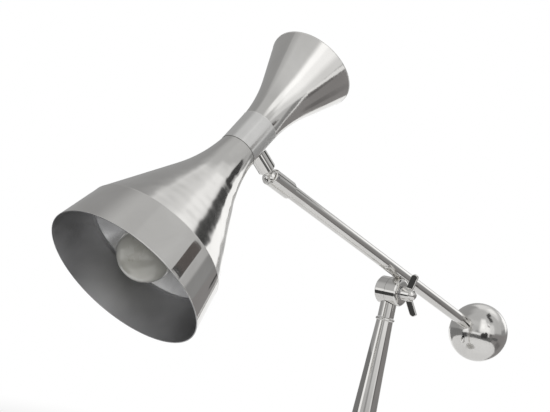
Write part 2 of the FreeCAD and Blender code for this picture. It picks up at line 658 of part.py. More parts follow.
def make_joint_cup():
    cup = new_body("joint_cup", "tube")
    rear, rim = "arm_front - cup_length", "arm_front + joint_ball_dia*0.25"
    cup_radius = "tube_dia*0.5 + cup_wall"
    blank = outline(new_sketch(cup, "XZ"), [
        (rear, "tube_dia*0.5 + fit"),
        (rear, cup_radius + " - cup_chamfer"),
        (rear + " + cup_chamfer", cup_radius),
        (rim + " - cup_lip", cup_radius),
        (rim, cup_radius + " - cup_lip"),
        (rim, "joint_ball_dia*0.4330127"),
        ("arm_front - joint_ball_dia*0.5", "0"),
        (rear + " + cup_socket", "0"),
        (rear + " + cup_socket", "tube_dia*0.5 + fit"),
    ], {3: ("cup_lip", 1), 5: ("joint_ball_dia*0.5", -1, "H_Axis")})
    revolve(cup, blank, "H_Axis")
    slot = new_sketch(cup, "XZ")
    box_outline(slot, "arm_front - cup_slot_back", "arm_front + joint_ball_dia", "0",
                "tube_dia")
    pocket(cup, slot, "cup_slot_width", both=True)
    drilled(cup, "XZ", "0", "arm_front", "0", "joint_screw_dia*0.5 + fit", "tube_dia", 1)
    screw = new_body("joint_screw", "tube")
    face = new_sketch(screw, "XZ", "joint_ball_dia*0.5 + fit")
    circle(face, "arm_front", "0", "joint_screw_dia*0.5")
    pad(screw, face, "joint_screw_length")


# ------------------------------------------------------------------ ball stud
# The nut's corners stay inside the liner's round wall.
NUT_FACE = "- neck_dia*0.55 + nut_setback"


def make_ball_stud():
    shaft_end = NUT_FACE + " + shaft_nut_height + shaft_past_nut"
    turned("ball_stud", "stub", "XZ", "H_Axis", [
        ("- stub_reach - joint_ball_dia*0.5 + fit", "0"),
        ("- stub_reach + joint_ball_dia*0.4 - fit*0.8", "joint_ball_dia*0.3 - fit*0.6"),
        ("- stub_face", "joint_ball_dia*0.3 - fit*0.6"),
        ("- stub_face", "shaft_dia*0.5"),
        (shaft_end, "shaft_dia*0.5"),
        (shaft_end, "0"),
    ], {0: ("joint_ball_dia*0.5", 1, "H_Axis")})
    nut = new_body("stud_nut", "stub")
    face = new_sketch(nut, "YZ", NUT_FACE)
    hexagon(face, "0", "0", "shaft_nut_radius")
    circle(face, "0", "0", "shaft_dia*0.5 + fit")
    pad(nut, face, "shaft_nut_height")


def make_stub():
    collar = turned("stub_collar", "stub", "XZ", "H_Axis", [
        ("- neck_dia*0.4", "shaft_dia*0.5 + fit"),
        ("- neck_dia*0.4", "stub_dia*0.5"),
        ("- stub_face + stub_round", "stub_dia*0.5"),
        ("- stub_face + fit", "stub_dia*0.5 - stub_round*1.6"),
        ("- stub_face + fit", "shaft_dia*0.5 + fit"),
    ], {2: ("stub_round*2", -1)})
    drilled(collar, "XY", "- neck_dia", "0", "0", "neck_dia*0.5 + sleeve_proud + fit",
            "neck_dia*2", 1)


# ---------------------------------------------------------------------- shade
def make_neck():
    sleeve = new_body("neck_sleeve", "stub")
    ring = new_sketch(sleeve, "XY", "- sleeve_height*0.5")
    circle(ring, "0", "0", "neck_dia*0.5 + sleeve_proud")
    circle(ring, "0", "0", "neck_dia*0.5 - sheet")
    pad(sleeve, ring, "sleeve_height")
    liner = new_body("neck_liner", "stub")
    ring = new_sketch(liner, "XY", "- liner_height*0.5")
    circle(ring, "0", "0", "neck_dia*0.5 - sheet - fit")
    circle(ring, "0", "0", "neck_dia*0.5 - sheet - fit - liner_wall")
    pad(liner, ring, "liner_height")
    for tube in (sleeve, liner):
        drilled(tube, "YZ", "0", "0", "0", "shaft_dia*0.5 + fit", "neck_dia", -1)


def make_shade():
    turned("shade_band", "head", "XZ", "V_Axis", [
        ("mouth_dia*0.5", "- neck_to_mouth"),
        ("band_top_dia*0.5", "- neck_to_mouth + band_height"),
        ("lip_dia*0.5", "- neck_to_mouth + band_height"),
        ("lip_dia*0.5", "- neck_to_mouth + band_height - sheet"),
        ("band_top_dia*0.5 - sheet*0.9", "- neck_to_mouth + band_height - sheet"),
        ("mouth_dia*0.5 - sheet", "- neck_to_mouth"),
    ])
    turned("shade_horn", "head", "XZ", "V_Axis", [
        ("band_top_dia*0.5", "- neck_to_mouth + band_height"),
        ("horn_bend_dia*0.5", "- horn_bend_drop"),
        ("neck_dia*0.5", "- sleeve_height*0.5"),
        ("neck_dia*0.5 - sheet", "- sleeve_height*0.5"),
        ("horn_bend_dia*0.5 - sheet", "- horn_bend_drop"),
        ("band_top_dia*0.5 - sheet", "- neck_to_mouth + band_height"),
    ], {1: ("horn_bend_drop*2", 1, 0), 3: ("horn_bend_drop*2", -1, 4)})
    turned("rear_trumpet", "head", "XZ", "V_Axis", [
        ("rear_dia*0.5", "rear_height"),
        ("rear_bend_dia*0.5", "rear_bend_rise"),
        ("neck_dia*0.5", "sleeve_height*0.5"),
        ("neck_dia*0.5 - sheet", "sleeve_height*0.5"),
        ("rear_bend_dia*0.5 - sheet", "rear_bend_rise"),
        ("rear_dia*0.5 - sheet", "rear_height"),
    ], {1: ("rear_bend_rise*2", -1, 0), 3: ("rear_bend_rise*2", 1, 4)})


def make_baffle():
    baffle = new_body("neck_baffle", "head")
    face = new_sketch(baffle, "XY", "baffle_level")
    circle(face, "0", "0", "neck_dia*0.5 - sheet - fit*2 - liner_wall")
    circle(face, "0", "0", "stem_dia*0.5 + fit")
    pad(baffle, face, "baffle_height")
    vent = circle(new_sketch(baffle, "XY", "baffle_level"), "vent_ring*0.5", "0",
                  "vent_dia*0.5")
    hole = pocket(baffle, vent, "baffle_height", 1)
    vents = baffle.newObject("PartDesign::PolarPattern", "Vents")
    vents.Originals = [hole]
    vents.Axis = (vent, ["N_Axis"])
    vents.Occurrences = 6
    baffle.Tip = vents
    doc.recompute()


# ------------------------------------------------------ lamp holder and bulb
CAP_END = "- bulb_centre + bulb_length_rise + cap_length + fit"


def make_holder():
    stem = new_body("holder_stem", "head")
    ring = new_sketch(stem, "XY", "stem_top")
    circle(ring, "0", "0", "stem_dia*0.5")
    circle(ring, "0", "0", "stem_bore*0.5")
    pad(stem, ring, "stem_top + holder_back + holder_grip", -1)
    nuts = new_body("holder_nuts", "head")
    nuts.AllowCompound = True
    for level, toward in (("baffle_level + baffle_height", 1), ("baffle_level", -1)):
        face = new_sketch(nuts, "XY", level)
        hexagon(face, "0", "0", "shaft_nut_radius")
        circle(face, "0", "0", "stem_dia*0.5 + fit")
        pad(nuts, face, "shaft_nut_height*0.8", toward)
    turned("lamp_holder", "head", "XZ", "V_Axis", [
        ("stem_dia*0.5 + fit", "- holder_back"),
        ("holder_dia*0.5 - holder_taper", "- holder_back"),
        ("holder_dia*0.5", "- holder_back - holder_taper"),
        ("holder_dia*0.5", "- holder_back - holder_length"),
        ("holder_bore*0.5", "- holder_back - holder_length"),
        ("holder_bore*0.5", CAP_END),
        ("0", CAP_END),
        ("0", "- holder_back - holder_grip"),
        ("stem_dia*0.5 + fit", "- holder_back - holder_grip"),
    ], {1: ("holder_taper*1.2", -1)})
    ring = new_body("holder_ring", "head")
    face = new_sketch(ring, "XY", "- holder_back - holder_ring_at")
    circle(face, "0", "0", "holder_ring_dia*0.5")
    circle(face, "0", "0", "holder_dia*0.5 + fit")
    pad(ring, face, "holder_ring_height", -1)


def make_bulb():
    outer, inner = "bulb_dia*0.5", "bulb_dia*0.5 - bulb_wall"
    turned("bulb_glass", "head", "XZ", "V_Axis", [
        ("0", f"- bulb_centre - {outer}"),
        ("bulb_shoulder", "- bulb_centre + bulb_shoulder_rise"),
        ("bulb_neck", "- bulb_centre + bulb_neck_rise"),
        ("bulb_neck - bulb_wall*0.4", "- bulb_centre + bulb_length_rise"),
        ("bulb_neck - bulb_wall*1.4", "- bulb_centre + bulb_length_rise"),
        ("bulb_neck - bulb_wall", "- bulb_centre + bulb_neck_rise"),
        ("bulb_shoulder - bulb_wall*0.9",
         "- bulb_centre + bulb_shoulder_rise - bulb_wall*0.5"),
        ("0", "- bulb_centre - bulb_dia*0.5 + bulb_wall"),
    ], {0: (outer, -1, "V_Axis"), 1: ("bulb_dia*0.7", 1), 5: ("bulb_dia*0.7", -1),
        6: (inner, 1, "V_Axis")})
    turned("bulb_cap", "head", "XZ", "V_Axis", [
        ("0", "- bulb_centre + bulb_length_rise"),
        ("cap_dia*0.5", "- bulb_centre + bulb_length_rise"),
        ("cap_dia*0.5", "- bulb_centre + bulb_length_rise + cap_length*0.8"),
        ("cap_dia*0.2", "- bulb_centre + bulb_length_rise + cap_length"),
        ("0", "- bulb_centre + bulb_length_rise + cap_length"),
    ])


for make in (make_base_cover, make_base_weight, make_base_felt, make_base_fixings,
             make_cable_inlet, make_switch, make_column, make_column_cap, make_tie_rod,
             make_post_socket, make_hub_cap, make_clamp_bolt, make_swivel_screw,
             make_arm_knuckle, make_flange, make_wing_nut, make_arm_tube,
             make_arm_screws, make_counterweight, make_joint_cup, make_ball_stud,
             make_stub, make_neck, make_shade, make_baffle, make_holder, make_bulb):
    make()
doc.recompute()

failed = [o.Label for o in doc.Objects if {"Invalid", "Error"} & set(o.State)]
failed += [p.Label for p in parts if p.Shape.isNull() or not p.Shape.isValid()]
if failed:
    raise RuntimeError("failed objects: " + ", ".join(failed))
for piece in parts:
    piece.Shape.exportStep(f"parts/{piece.Label}.step")
    box = piece.Shape.BoundBox
    print(f"{piece.Label:20s} solids {len(piece.Shape.Solids)}"
          f" volume {piece.Shape.Volume / 1000:9.2f} cm3"
          f" z {box.ZMin:7.1f} to {box.ZMax:7.1f}")
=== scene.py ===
import math

import bmesh
import bpy
from mathutils import Matrix, Vector, noise


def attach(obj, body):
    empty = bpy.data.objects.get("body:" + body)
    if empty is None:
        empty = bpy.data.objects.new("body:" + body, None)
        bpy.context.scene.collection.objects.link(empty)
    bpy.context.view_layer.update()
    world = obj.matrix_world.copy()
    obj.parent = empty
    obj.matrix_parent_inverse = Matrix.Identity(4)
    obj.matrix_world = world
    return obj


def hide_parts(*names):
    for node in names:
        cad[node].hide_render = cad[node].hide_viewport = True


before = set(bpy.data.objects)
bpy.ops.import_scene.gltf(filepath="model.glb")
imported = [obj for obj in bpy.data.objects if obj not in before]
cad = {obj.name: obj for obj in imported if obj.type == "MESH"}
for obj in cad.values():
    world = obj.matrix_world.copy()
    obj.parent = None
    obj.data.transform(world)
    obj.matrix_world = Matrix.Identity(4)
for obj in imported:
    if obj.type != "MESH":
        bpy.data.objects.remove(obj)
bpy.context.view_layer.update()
scene = bpy.context.scene

# The shade's axis runs through the middle of the neck and points to the rear trumpet.
NECK = Vector((0.351986, -0.002508, 0.563222))
SHADE_AXIS = Vector((-0.604599, 0.0, 0.796530))
HUB_HEIGHT = 0.4425
UP = Vector((0.0, 0.0, 1.0))
SHARP_ANGLE = math.radians(35)


# ------------------------------------------------------------------ materials
class Finish:
    """A node material on one Principled shader, built up from textures."""

    def __init__(self, name, **sockets):
        self.material = bpy.data.materials.new(name)
        self.material.use_nodes = True
        self.tree = self.material.node_tree
        self.shader = self.tree.nodes["Principled BSDF"]
        for socket, value in sockets.items():
            self.shader.inputs[socket.replace("_", " ")].default_value = value
        self.place = self.node("ShaderNodeTexCoord").outputs["Object"]
        self.height = None

    def node(self, kind, **settings):
        made = self.tree.nodes.new(kind)
        for key, value in settings.items():
            setattr(made, key, value)
        return made

    def link(self, source, target):
        self.tree.links.new(source, target)

    def maths(self, operation, first, second):
        made = self.node("ShaderNodeMath", operation=operation)
        for socket, value in zip(made.inputs, (first, second)):
            if isinstance(value, (int, float)):
                socket.default_value = value
            else:
                self.link(value, socket)
        return made.outputs[0]

    def noise(self, scale, detail=2.0, distortion=0.0):
        """Noise in object space, with features of about 1/scale metres."""
        texture = self.node("ShaderNodeTexNoise")
        texture.inputs["Scale"].default_value = scale
        texture.inputs["Detail"].default_value = detail
        texture.inputs["Distortion"].default_value = distortion
        self.link(self.place, texture.inputs["Vector"])
        return texture.outputs["Fac"]

    def rings(self, scale, detail=2.0):
        """Noise that changes only along the shade's axis: what a lathe leaves."""
        offset = self.node("ShaderNodeVectorMath", operation="SUBTRACT")
        offset.inputs[1].default_value = NECK
        self.link(self.place, offset.inputs[0])
        dot = self.node("ShaderNodeVectorMath", operation="DOT_PRODUCT")
        dot.inputs[1].default_value = SHADE_AXIS
        self.link(offset.outputs[0], dot.inputs[0])
        texture = self.node("ShaderNodeTexNoise", noise_dimensions="1D")
        texture.inputs["Scale"].default_value = scale
        texture.inputs["Detail"].default_value = detail
        self.link(dot.outputs["Value"], texture.inputs["W"])
        return texture.outputs["Fac"]

    def scratches(self, scale):
        """Fine hairlines: thin contour bands of a distorted noise, 1 on a scratch."""
        field = self.noise(scale, detail=1.0, distortion=2.5)
        distance = self.maths("ABSOLUTE", self.maths("SUBTRACT", field, 0.5), 0.0)
        return self.spread(distance, 1.0, 0.0, 0.0, 0.004)

    def spread(self, source, low, high, start=0.0, end=1.0):
        """Maps start..end to low..high."""
        made = self.node("ShaderNodeMapRange")
        for socket, value in zip(made.inputs[1:5], (start, end, low, high)):
            socket.default_value = value
        self.link(source, made.inputs[0])
        return made.outputs[0]

    def rough(self, source):
        self.link(source, self.shader.inputs["Roughness"])

    def tint(self, source, dark, light):
        """Base colour between two colours."""
        ramp = self.node("ShaderNodeValToRGB")
        for stop, colour, position in zip(ramp.color_ramp.elements, (dark, light),
                                          (0.3, 0.7)):
            stop.color = (*colour, 1)
            stop.position = position
        self.link(source, ramp.inputs[0])
        self.link(ramp.outputs[0], self.shader.inputs["Base Color"])

    def bump(self, source, depth, edge_radius=0.0):
        """Height in metres, chained after the earlier bumps. The first one may also
        round the piece's edges."""
        made = self.node("ShaderNodeBump")
        made.inputs["Distance"].default_value = depth
        self.link(source, made.inputs["Height"])
        if self.height is not None:
            self.link(self.height, made.inputs["Normal"])
        elif edge_radius:
            edge = self.node("ShaderNodeBevel", samples=4)
            edge.inputs["Radius"].default_value = edge_radius
            self.link(edge.outputs[0], made.inputs["Normal"])
        self.height = made.outputs[0]
        self.link(self.height, self.shader.inputs["Normal"])


NICKEL_LIGHT = (0.78, 0.77, 0.75)
NICKEL_DARK = (0.70, 0.69, 0.67)


def nickel(name, low, high, waviness, rings=0.0, detail=2.0, light=NICKEL_LIGHT,
           dark=NICKEL_DARK):
    """Polished nickel plate with its least and most roughness: slow waves from
    buffing, smears, hairlines, and on a spun piece the rings of the tool."""
    metal = Finish(name, Metallic=1.0)
    smears = metal.noise(18.0, detail=5.0, distortion=0.6)
    metal.tint(smears, dark, light)
    hairs = metal.scratches(42.0)
    base = metal.spread(smears, low, high, 0.35, 0.75)
    metal.rough(metal.maths("ADD", base, metal.maths("MULTIPLY", hairs, 0.05)))
    metal.bump(metal.noise(34.0, detail=1.0), waviness)
    if rings:
        metal.bump(metal.rings(52.0, detail), rings)
        metal.bump(metal.rings(500.0), detail * 0.000002)
    metal.bump(metal.noise(1400.0, detail=2.0), 0.0000005)
    return metal.material


polished = nickel("polished_nickel", 0.03, 0.08, 0.00006)
band_nickel = nickel("band_nickel", 0.04, 0.065, 0.00008, 0.00001)
horn_nickel = nickel("horn_nickel", 0.1, 0.17, 0.0009, 0.00042, 0.7)
trumpet_nickel = nickel("trumpet_nickel", 0.08, 0.14, 0.0002, 0.00004)
sleeve_nickel = nickel("sleeve_nickel", 0.16, 0.22, 0.0001,
                       light=(0.96, 0.955, 0.94), dark=(0.89, 0.885, 0.87))
# Near-black nickel, painted shade: it colours a thin ring so that the ring stands for
# the shadow in the seam at the sleeve's front end.
painted_seam_shade = nickel("painted_seam_shade", 0.3, 0.4, 0.0001,
                       light=(0.20, 0.195, 0.185), dark=(0.12, 0.118, 0.11))
ball_nickel = nickel("ball_nickel", 0.11, 0.17, 0.0001)
base_nickel = nickel("base_nickel", 0.05, 0.12, 0.0001)


def satin(name, light, dark, low, high):
    """Unpolished inside of a spun piece: fine rings from the tool, dull smears."""
    metal = Finish(name, Metallic=1.0)
    smears = metal.noise(22.0, detail=4.0, distortion=0.4)
    metal.tint(smears, dark, light)
    metal.rough(metal.spread(smears, low, high, 0.3, 0.7))
    metal.bump(metal.rings(1400.0), 0.00003)
    metal.bump(metal.noise(900.0, detail=3.0), 0.00002)
    return metal.material


lining = satin("shade_lining", (0.45, 0.45, 0.455), (0.37, 0.37, 0.375), 0.32, 0.44)
reflector = satin("horn_lining", (0.93, 0.93, 0.93), (0.86, 0.86, 0.86), 0.17, 0.25)

steel = Finish("plated_steel", Metallic=1.0)
grain = steel.noise(420.0, detail=5.0)
steel.tint(steel.noise(60.0, detail=4.0), (0.52, 0.52, 0.53), (0.66, 0.66, 0.67))
steel.rough(steel.spread(grain, 0.2, 0.42))
steel.bump(grain, 0.00002)

weight = Finish("cast_weight")
grain = weight.noise(260.0, detail=8.0)
weight.tint(weight.noise(40.0, detail=6.0), (0.02, 0.02, 0.022), (0.05, 0.05, 0.052))
weight.rough(weight.spread(grain, 0.6, 0.85))
weight.bump(grain, 0.0003)

felt = Finish("felt", Sheen_Weight=0.6, Sheen_Roughness=0.5)
fibres = felt.noise(1600.0, detail=6.0, distortion=3.0)
felt.tint(felt.noise(500.0, detail=6.0, distortion=2.0), (0.016, 0.016, 0.017),
          (0.035, 0.035, 0.037))
felt.rough(felt.spread(fibres, 0.85, 1.0))
felt.bump(fibres, 0.0004)

rubber = Finish("rubber")
grain = rubber.noise(900.0, detail=4.0)
rubber.tint(rubber.noise(120.0), (0.012, 0.012, 0.012), (0.022, 0.022, 0.022))
rubber.rough(rubber.spread(grain, 0.5, 0.7))
rubber.bump(grain, 0.00005)

black = Finish("black_moulding", Specular_IOR_Level=0.4)
grain = black.noise(1200.0, detail=4.0)
black.tint(black.noise(90.0), (0.012, 0.012, 0.014), (0.02, 0.02, 0.022))
black.rough(black.spread(grain, 0.35, 0.5))
black.bump(grain, 0.00002, edge_radius=0.0003)

holder = Finish("holder_moulding", Coat_Weight=0.4, Coat_Roughness=0.12)
grain = holder.noise(300.0, detail=5.0)
holder.tint(holder.noise(45.0, detail=4.0), (0.66, 0.63, 0.55), (0.74, 0.71, 0.64))
holder.rough(holder.spread(grain, 0.28, 0.42))
holder.bump(grain, 0.00004, edge_radius=0.0003)

# Opal glass with a dark grey base colour: painted shade, for the white bulb as it looks
# in the shadow inside the lampshade.
opal_painted_shade = Finish("opal_glass", Coat_Weight=1.0, Coat_Roughness=0.04)
haze = opal_painted_shade.noise(35.0, detail=4.0)
opal_painted_shade.tint(haze, (0.31, 0.305, 0.27), (0.37, 0.365, 0.335))
opal_painted_shade.rough(opal_painted_shade.spread(haze, 0.24, 0.32))
opal_painted_shade.bump(opal_painted_shade.noise(60.0), 0.00003)

tin = Finish("bulb_cap_metal", Metallic=1.0)
grain = tin.noise(500.0, detail=4.0)
tin.tint(tin.noise(70.0, detail=3.0), (0.6, 0.59, 0.57), (0.75, 0.74, 0.72))
tin.rough(tin.spread(grain, 0.25, 0.4))
tin.bump(grain, 0.00002)

# Pieces that aren't named here are polished nickel.
FINISHES = {
    base_nickel: ("base_cover", "column_foot"),
    band_nickel: ("shade_band",),
    horn_nickel: ("shade_horn",),
    trumpet_nickel: ("rear_trumpet",),
    sleeve_nickel: ("neck_sleeve",),
    ball_nickel: ("counterweight_ball",),
    lining: ("neck_liner", "neck_baffle"),
    steel.material: ("base_washer", "base_nut", "tie_rod", "swivel_screw",
                     "clamp_bolt", "spring_washer", "ball_set_screw", "joint_screw",
                     "stud_nut", "holder_stem", "holder_nuts"),
    weight.material: ("base_weight",),
    felt.material: ("base_felt",),
    rubber.material: ("cable_grommet",),
    black.material: ("switch_body",),
    holder.material: ("lamp_holder", "holder_ring"),
    opal_painted_shade.material: ("bulb_glass",),
    tin.material: ("bulb_cap",),
}
finish_of = {name: finish for finish, names in FINISHES.items() for name in names}
for name, thing in cad.items():
    thing.data.materials.clear()
    thing.data.materials.append(finish_of.get(name, polished))

# The insides of the spun pieces have a lining of their own. A face is an outside one
# if it points away from the shade's axis by more than OUTWARD.
OUTWARD = 0.25
for name, inside in (("shade_band", lining), ("shade_horn", reflector),
                     ("rear_trumpet", reflector)):
    mesh = cad[name].data
    mesh.materials.append(inside)
    for face in mesh.polygons:
        out = face.center - NECK
        out -= SHADE_AXIS * out.dot(SHADE_AXIS)
        if face.normal.dot(out.normalized()) < OUTWARD:
            face.material_index = 1


# ------------------------------------------------- details that the CAD leaves plain
def detail_piece(name, points, faces):
    """A closed mesh in world metres, smooth but for its sharp edges."""
    mesh = bpy.data.meshes.new(name)
    mesh.from_pydata(points, [], faces)
    skin = bmesh.new()
    skin.from_mesh(mesh)
    bmesh.ops.recalc_face_normals(skin, faces=skin.faces)
    skin.to_mesh(mesh)
    skin.free()
    mesh.shade_smooth()
    mesh.set_sharp_from_angle(angle=SHARP_ANGLE)
    thing = bpy.data.objects.new(name, mesh)
    scene.collection.objects.link(thing)
    return thing


def turned_piece(name, origin, axis, outline, radius=None, segments=96, closed=False):
    """A surface turned round an axis. outline lists (distance along the axis, radius)
    in millimetres; radius(angle, distance, r) may shape it, for flutes and threads.
    A closed outline makes a ring, an open one gets flat ends."""
    axis = axis.normalized()
    first = axis.cross(UP if abs(axis.z) < 0.9 else Vector((1, 0, 0))).normalized()
    second = axis.cross(first).normalized()
    points, faces = [], []
    for t, r in outline:
        for k in range(segments):
            angle = 2.0 * math.pi * k / segments
            reach = radius(angle, t, r) if radius else r
            side = first * math.cos(angle) + second * math.sin(angle)
            points.append(origin + (axis * t + side * reach) / 1000.0)
    rows = len(outline)
    for i in range(rows if closed else rows - 1):
        for k in range(segments):
            j, n = (i + 1) % rows, (k + 1) % segments
            faces.append((i * segments + k, i * segments + n, j * segments + n,
                          j * segments + k))
    if not closed:
        faces.append(tuple(range(segments))[::-1])
        faces.append(tuple((rows - 1) * segments + k for k in range(segments)))
    return detail_piece(name, points, faces)


def dressed(thing, body, finish, slot, *nodes):
    """Gives a piece its finish and its body, and hides the CAD nodes that it replaces.
    """
    thing.data.materials.append(finish)
    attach(thing, body)
    if nodes:
        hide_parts(*nodes)


def bead(name, t, r, thick, finish):
    """A rolled edge or seam round the shade's axis."""
    outline = [(t + thick * math.cos(a), r + thick * math.sin(a))
               for a in (2.0 * math.pi * k / 12 for k in range(12))]
    thing = turned_piece(name, NECK, SHADE_AXIS, outline, segments=180, closed=True)
    dressed(thing, "head", finish, "shade_nickel")


bead("mouth_rolled_edge", -225.35, 89.95, 0.55, polished)
bead("band_crease_seam", -175.5, 80.72, 0.4, polished)
bead("trumpet_rolled_edge", 130.5, 52.2, 0.5, polished)
# The dark ring at the sleeve's front end is painted shade, for the shadow in the seam
# there.
bead("sleeve_front_painted_shade_ring", -21.55, 21.85, 0.32, painted_seam_shade)
bead("sleeve_rear_seam", 21.6, 21.95, 0.3, polished)


def socket_screw(name, node, body, top, axis, length, r, key, depth, shank=()):
    """A screw of radius r with a hexagon socket, whose top is at top and whose axis
    points out. key is the socket's radius and depth its depth."""
    outline = [*shank, (-length, r), (-0.15 * r, r), (0.0, r * 0.86), (0.0, key * 1.04),
               (-depth * 0.12, key), (-depth, key), (-depth, key * 0.5)]

    def shape(angle, t, reach):
        if reach > key * 1.05 or t < -depth * 1.01:
            return reach
        turn = angle % (math.pi / 3.0) - math.pi / 6.0
        return reach * math.cos(math.pi / 6.0) / math.cos(turn)

    thing = turned_piece(name, Vector(top) / 1000.0, Vector(axis), outline, shape, 48)
    dressed(thing, body, steel.material, "plated_steel", node)


UNDER_ARM = (0.199, 0, -0.98)
socket_screw("joint_tension_screw", "joint_screw", "arm", (308.615, 17.4, 530.29),
             (0, 1, 0), 1.6, 2.0, 1.15, 1.2)
socket_screw("cradle_fixing_screw", "cradle_screw", "arm", (-20.323, 7.0, 449.691),
             UNDER_ARM, 2.4, 3.5, 2.0, 1.5, [(-6.4, 1.9), (-2.4, 1.9)])
socket_screw("ball_grub_screw", "ball_set_screw", "arm", (-213.223, 7.0, 410.549),
             UNDER_ARM, 4.8, 3.0, 1.75, 2.2)
socket_screw("swivel_grub_screw", "swivel_screw", "base", (-11.5, 0.0, 403.5),
             (-1, 0, 0), 6.4, 1.5, 0.8, 1.2)


def flutes(count, deep, least):
    """Cuts count rounded flutes into what lies outside a radius."""
    def shape(angle, t, r):
        if r < least:
            return r
        return r - deep * (0.5 + 0.5 * math.cos(count * angle)) ** 2
    return shape


ring = turned_piece("holder_grip_ring", NECK, SHADE_AXIS,
                    [(-120, 19.05), (-120, 21.4), (-119.4, 22), (-117, 22), (-114.6, 22),
                     (-114, 21.4), (-114, 19.05)], flutes(48, 0.9, 20.0), 384, True)
dressed(ring, "head", holder.material, "holder_moulding", "holder_ring")

ring = turned_piece("switch_knurled_nut", Vector((0.08, 0, 0)), UP,
                    [(16.0, 7.55), (16.0, 10.7), (16.3, 11.0), (17.3, 11.0),
                     (17.9, 10.6), (18.4, 9.7), (18.4, 7.9), (18.2, 7.55)],
                    flutes(40, 0.35, 10.5), 320, True)
dressed(ring, "base", polished, "polished_nickel", "switch_ring")

THREAD_PITCH = 3.63
THREAD_DEPTH = 0.65


def screw_thread(angle, t, r):
    """The rolled thread of the bulb's cap, between its plain ends."""
    if r < 13.0 or not -137.5 <= t <= -119.5:
        return r
    turn = angle + t * 2.0 * math.pi / THREAD_PITCH
    return r - THREAD_DEPTH * (0.5 + 0.5 * math.cos(turn))


shell = [(-139.9 + 0.45 * k, 13.3) for k in range(48)]
contact = [(-118.0, 12.6), (-115.8, 9.6), (-115.6, 8.0), (-114.4, 5.2), (-112.9, 4.8)]
cap = turned_piece("bulb_screw_cap", NECK, SHADE_AXIS, shell + contact, screw_thread, 72)
dressed(cap, "head", tin.material, "bulb_cap_metal", "bulb_cap")

# The spring washer is one turn of square wire, cut and sprung apart at its ends.
WIRE_STEPS = 72
WIRE_START, WIRE_TURN = 95.0, 348.0      # degrees
WIRE_INSIDE, WIRE_OUTSIDE = 4.4, 9.0     # radii in millimetres
WIRE_FOOT, WIRE_RISE, WIRE_THICK = 17.6, 0.5, 1.5
points, faces = [], []
for k in range(WIRE_STEPS + 1):
    angle = math.radians(WIRE_START + WIRE_TURN * k / WIRE_STEPS)
    foot = WIRE_FOOT + WIRE_RISE * k / WIRE_STEPS
    for r, y in ((WIRE_INSIDE, foot), (WIRE_OUTSIDE, foot),
                 (WIRE_OUTSIDE, foot + WIRE_THICK), (WIRE_INSIDE, foot + WIRE_THICK)):
        points.append((r * math.cos(angle) / 1000, y / 1000,
                       HUB_HEIGHT + r * math.sin(angle) / 1000))
for k in range(WIRE_STEPS):
    for c in range(4):
        d = (c + 1) % 4
        faces.append((4 * k + c, 4 * k + d, 4 * k + 4 + d, 4 * k + 4 + c))
faces.append((3, 2, 1, 0))
faces.append(tuple(4 * WIRE_STEPS + c for c in range(4)))
washer = detail_piece("split_washer", points, faces)
dressed(washer, "arm", steel.material, "plated_steel", "spring_washer")

# The wing nut is a casting: its wings run into the boss with soft fillets.
skin = cad["wing_nut"].modifiers.new("cast_skin", "REMESH")
skin.mode = "VOXEL"
skin.voxel_size = 0.0003
skin.use_smooth_shade = True
fillets = cad["wing_nut"].modifiers.new("cast_fillets", "SMOOTH")
fillets.factor = 0.5
fillets.iterations = 18


# ----------------------------------------------------------------- the studio
def direction(azimuth, elevation):
    a, e = math.radians(azimuth), math.radians(elevation)
    return Vector((math.cos(a) * math.cos(e), math.sin(a) * math.cos(e), math.sin(e)))


# What the metal reflects: soft-edged fields of brightness round the lamp, each with
# its azimuths, elevations, brightness and softness, in degrees.
WALL_LEVEL = 0.56
FIELDS = [
    ((-150, -48), (-25, 65), 0.36, 26.0),
    ((-30, 34), (24, 44), 0.66, 14.0),
    ((-27, -12), (-6, 12), 1.15, 4.0),
    ((20, 38), (-6, 8), 0.36, 7.0),
    ((74, 98), (-12, 34), 0.84, 9.0),
    ((34, 78), (2, 56), 1.14, 14.0),
    ((39, 54), (18, 36), 1.3, 6.0),
    ((62, 116), (38, 80), 0.60, 14.0),
    ((136, 226), (38, 72), 0.84, 14.0),
    ((157, 186), (44, 62), 1.08, 7.0),
    ((134, 166), (3, 26), 0.50, 5.0),
    ((163, 189), (8, 27), 1.22, 4.0),
    ((99, 196), (-26, 6), 0.27, 5.0),
    ((98, 110), (-11, -2), 0.15, 4.0),
    ((140, 160), (-26, -14), 0.18, 5.0),
    ((134, 160), (3, 14), 0.30, 3.0),
    ((203, 228), (-2, 7), 1.15, 4.0),
]


def feather(value, low, high, soft):
    """1 between low and high and 0 outside, with an edge as wide as soft."""
    inside = min(value - low, high - value) / soft + 0.5
    inside = max(0.0, min(1.0, inside))
    return inside * inside * (3.0 - 2.0 * inside)


def brightness(azimuth, elevation):
    level = WALL_LEVEL
    for azimuths, elevations, strength, soft in FIELDS:
        turn = azimuths[0] + (azimuth - azimuths[0] + 90.0) % 360.0 - 90.0
        share = feather(turn, *azimuths, soft) * feather(elevation, *elevations, soft)
        level += (strength - level) * share
    return level


def glowing_mesh(name, points, faces, levels, colour=(1, 1, 1, 1)):
    """A surface seen only in reflections, as bright at each point as levels says."""
    mesh = bpy.data.meshes.new(name)
    mesh.from_pydata(points, [], faces)
    glow = mesh.attributes.new("glow", "FLOAT", "POINT")
    glow.data.foreach_set("value", levels)
    surface = bpy.data.materials.new(name)
    surface.use_nodes = True
    tree = surface.node_tree
    tree.nodes.clear()
    lamp = tree.nodes.new("ShaderNodeEmission")
    lamp.inputs["Color"].default_value = colour
    level = tree.nodes.new("ShaderNodeAttribute")
    level.attribute_name = "glow"
    tree.links.new(level.outputs["Fac"], lamp.inputs["Strength"])
    out = tree.nodes.new("ShaderNodeOutputMaterial")
    tree.links.new(lamp.outputs[0], out.inputs["Surface"])
    mesh.materials.append(surface)
    thing = bpy.data.objects.new(name, mesh)
    scene.collection.objects.link(thing)
    thing.visible_camera = thing.visible_diffuse = False
    thing.visible_transmission = thing.visible_shadow = False


